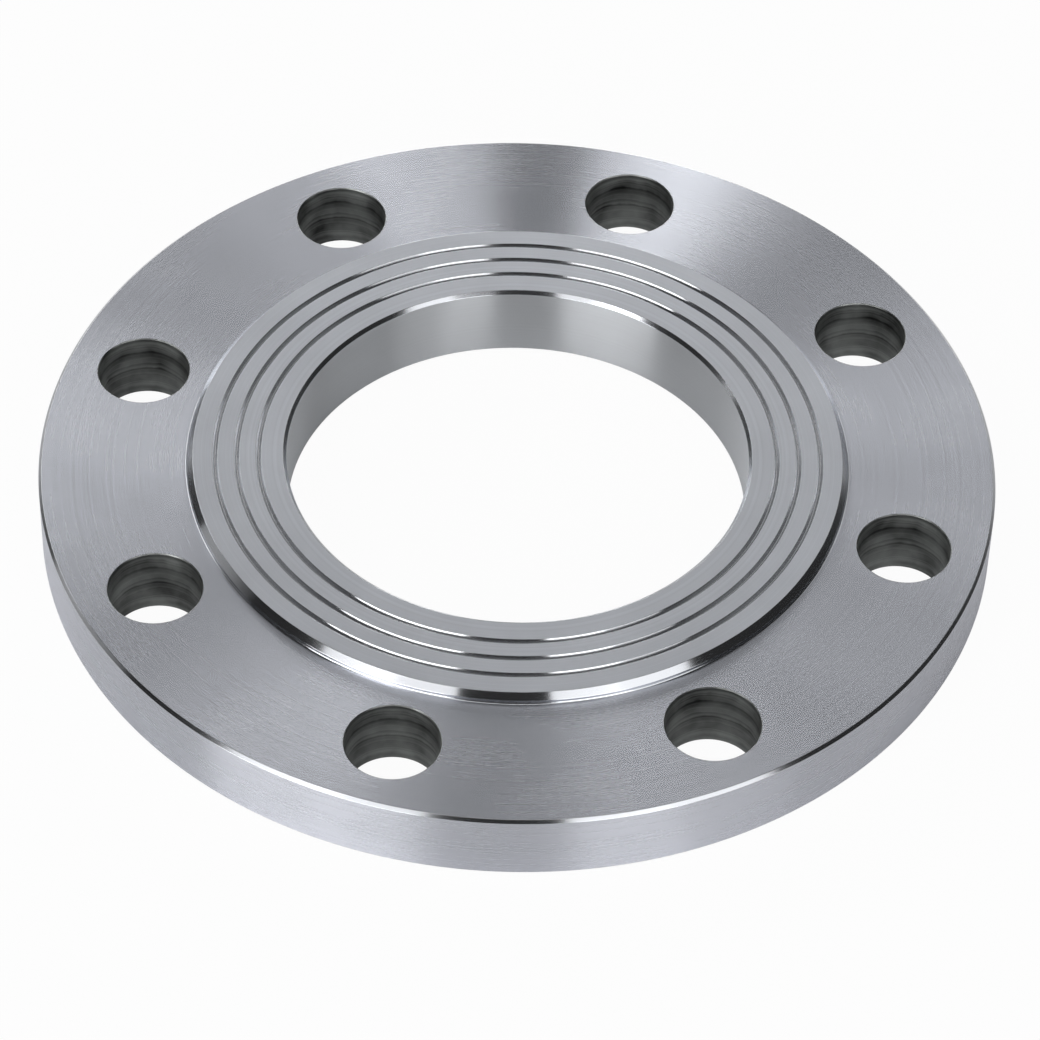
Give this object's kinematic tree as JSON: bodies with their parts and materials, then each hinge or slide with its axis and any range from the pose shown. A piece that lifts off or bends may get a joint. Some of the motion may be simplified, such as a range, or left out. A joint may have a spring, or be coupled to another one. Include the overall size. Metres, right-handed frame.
{
  "type": "slip-on pipe flange",
  "caption": "Flat steel ring that slips over a pipe end and is welded on, with a raised gasket face turned with concentric grooves and a circle of bolt holes.",
  "frame": {"origin": "centre of the bore in the plane of the back face", "axes": "+Z along the pipe axis towards the raised gasket face; the bolt holes straddle X and Y"},
  "size_m": [0.2286, 0.2286, 0.0204],
  "materials": {
    "turned_steel": "bright stainless steel, lathe turned, with fine concentric tool marks"
  },
  "bodies": {
    "root": {"flange": "turned_steel"}
  },
  "joints": []
}
